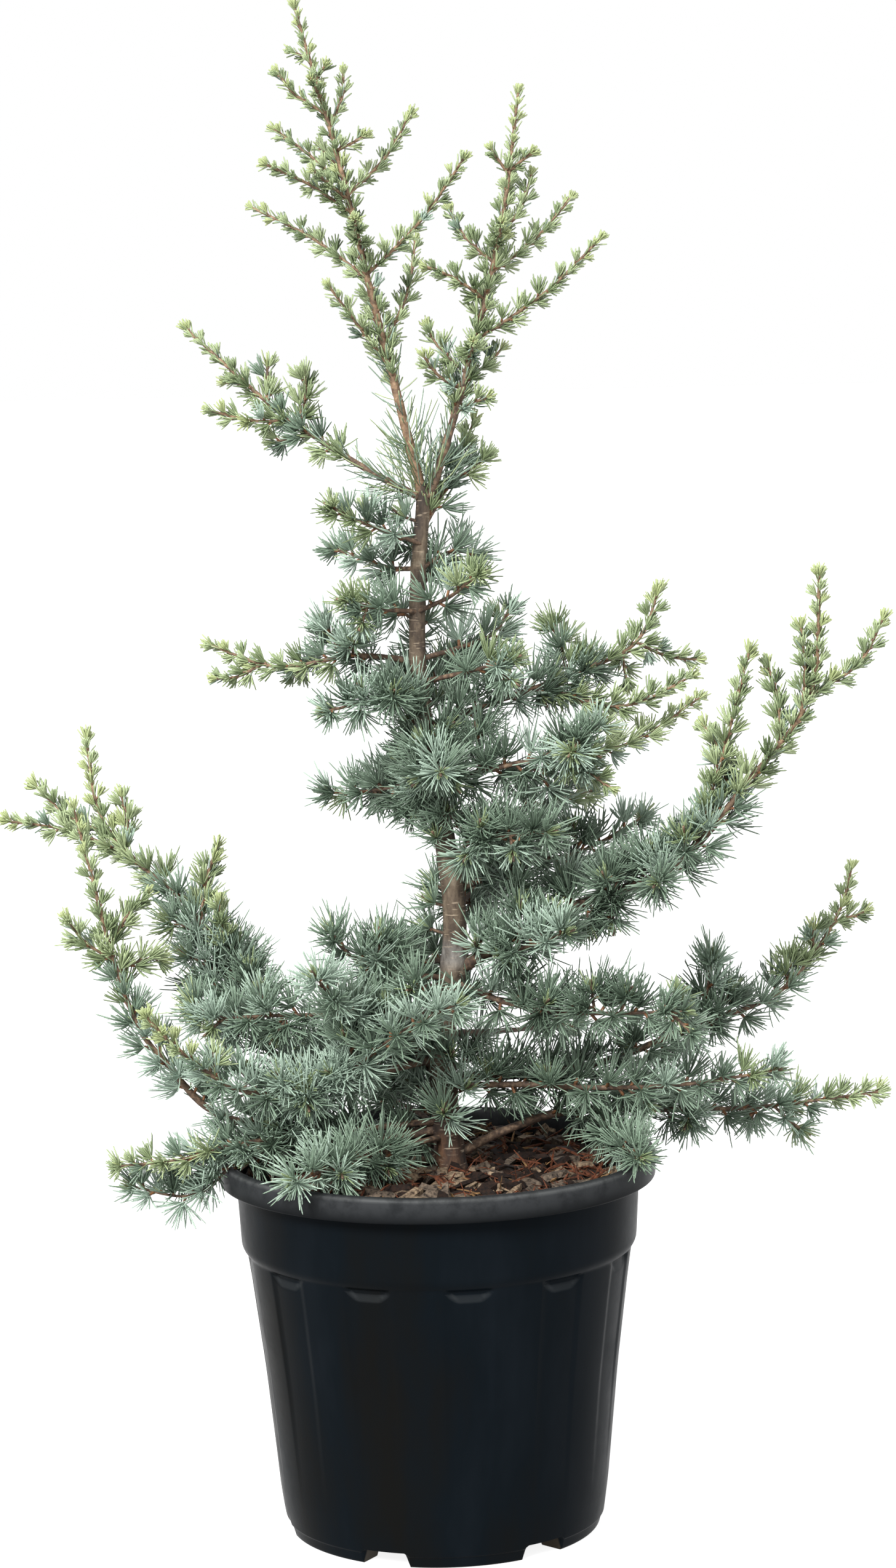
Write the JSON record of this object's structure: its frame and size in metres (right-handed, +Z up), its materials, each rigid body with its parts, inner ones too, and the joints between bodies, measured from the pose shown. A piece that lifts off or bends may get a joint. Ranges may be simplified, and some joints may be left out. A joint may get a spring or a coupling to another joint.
{
  "type": "potted atlas cedar",
  "caption": "Young blue atlas cedar with a forked leader and open, upswept blue-green branches, in a round black plastic nursery pot filled with bark mulch.",
  "frame": {"origin": "on the ground under the pot's axis, at the middle of the flat pad on the pot's underside", "axes": "+Z up along the trunk, -Y towards the viewer of the picture (the plant's front), +X to the viewer's right"},
  "size_m": [0.6945, 0.3934, 1.1557],
  "materials": {
    "bark": "matte",
    "blue_green_needles": "matte",
    "black_plastic": "satin",
    "bark_mulch": "matte"
  },
  "bodies": {
    "root": {"pot": "black_plastic", "mulch": "bark_mulch", "trunk": "bark", "bough_leader_left": "bark", "bough_leader_right": "bark", "bough_left_4": "bark", "bough_left_low_1": "bark", "bough_left_low_2": "bark", "bough_left_outer_1": "bark", "bough_left_outer_2": "bark", "bough_low_right_2": "bark", "bough_low_right_3": "bark", "bough_low_right_4": "bark", "bough_right_5": "bark", "bough_right_6": "bark", "bough_right_8": "bark", "bough_right_9": "bark", "bough_upper_left": "bark", "foliage_back_1": "blue_green_needles", "foliage_back_2": "blue_green_needles", "foliage_back_3": "blue_green_needles", "foliage_back_4": "blue_green_needles", "foliage_back_5": "blue_green_needles", "foliage_back_6": "blue_green_needles", "foliage_back_7": "blue_green_needles", "foliage_back_8": "blue_green_needles", "foliage_fork_right": "blue_green_needles", "foliage_front_1": "blue_green_needles", "foliage_front_2": "blue_green_needles", "foliage_front_3": "blue_green_needles", "foliage_leader_left": "blue_green_needles", "foliage_leader_right": "blue_green_needles", "foliage_left_1": "blue_green_needles", "foliage_left_2": "blue_green_needles", "foliage_left_3": "blue_green_needles", "foliage_left_4": "blue_green_needles", "foliage_left_5": "blue_green_needles", "foliage_left_6": "blue_green_needles", "foliage_left_7": "blue_green_needles", "foliage_left_8": "blue_green_needles", "foliage_left_9": "blue_green_needles", "foliage_left_low_1": "blue_green_needles", "foliage_left_low_2": "blue_green_needles", "foliage_left_low_3": "blue_green_needles", "foliage_left_outer_1": "blue_green_needles", "foliage_left_outer_2": "blue_green_needles", "foliage_low_right_1": "blue_green_needles", "foliage_low_right_2": "blue_green_needles", "foliage_low_right_3": "blue_green_needles", "foliage_low_right_4": "blue_green_needles", "foliage_right_1": "blue_green_needles", "foliage_right_2": "blue_green_needles", "foliage_right_3": "blue_green_needles", "foliage_right_4": "blue_green_needles", "foliage_right_5": "blue_green_needles", "foliage_right_6": "blue_green_needles", "foliage_right_7": "blue_green_needles", "foliage_right_8": "blue_green_needles", "foliage_right_9": "blue_green_needles", "foliage_upper_left": "blue_green_needles"}
  },
  "joints": []
}
